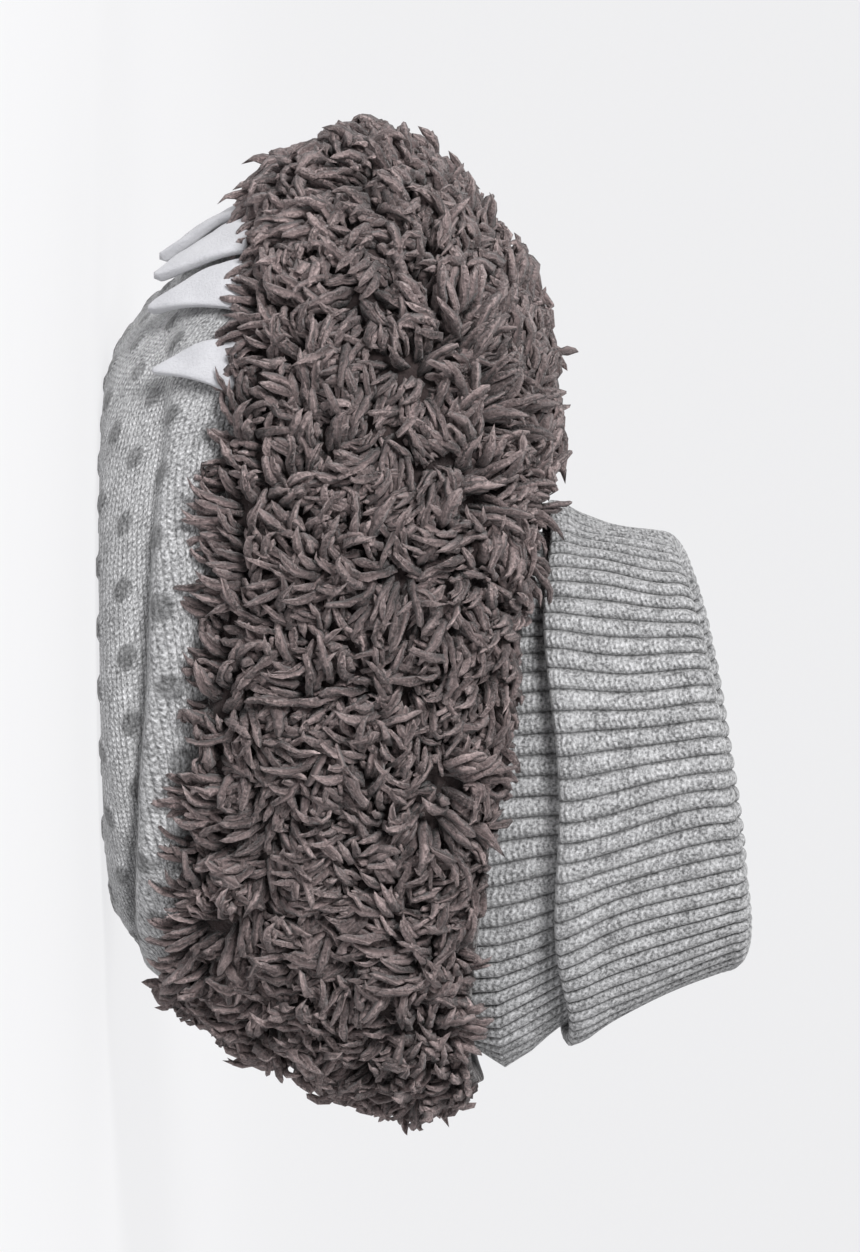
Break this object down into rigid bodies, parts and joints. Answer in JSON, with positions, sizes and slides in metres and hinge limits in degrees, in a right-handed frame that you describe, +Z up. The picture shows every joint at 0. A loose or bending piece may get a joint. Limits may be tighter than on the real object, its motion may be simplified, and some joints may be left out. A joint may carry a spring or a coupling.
{
  "type": "bootie",
  "caption": "Baby's soft bootie, standing empty: shaggy fleece upper, padded knit sole with grip dots, ribbed turn-down cuff and felt claws round the toe",
  "frame": {"origin": "on the flat spot of the sole that the bootie stands on, at the middle of its box seen from above", "axes": "+X points to the toe, +Y to the shoe's left side and +Z up"},
  "size_m": [0.1328, 0.0679, 0.0826],
  "materials": {
    "fleece": "shaggy pile",
    "jersey": "matte knit",
    "insole_cloth": "matte knit",
    "rib": "matte rib knit",
    "felt": "matte felt"
  },
  "bodies": {
    "root": {"fleece_upper": "fleece", "knit_sole": "jersey", "insole": "insole_cloth", "rib_cuff": "rib", "claw_1": "felt", "claw_2": "felt", "claw_3": "felt", "claw_4": "felt"}
  },
  "joints": []
}
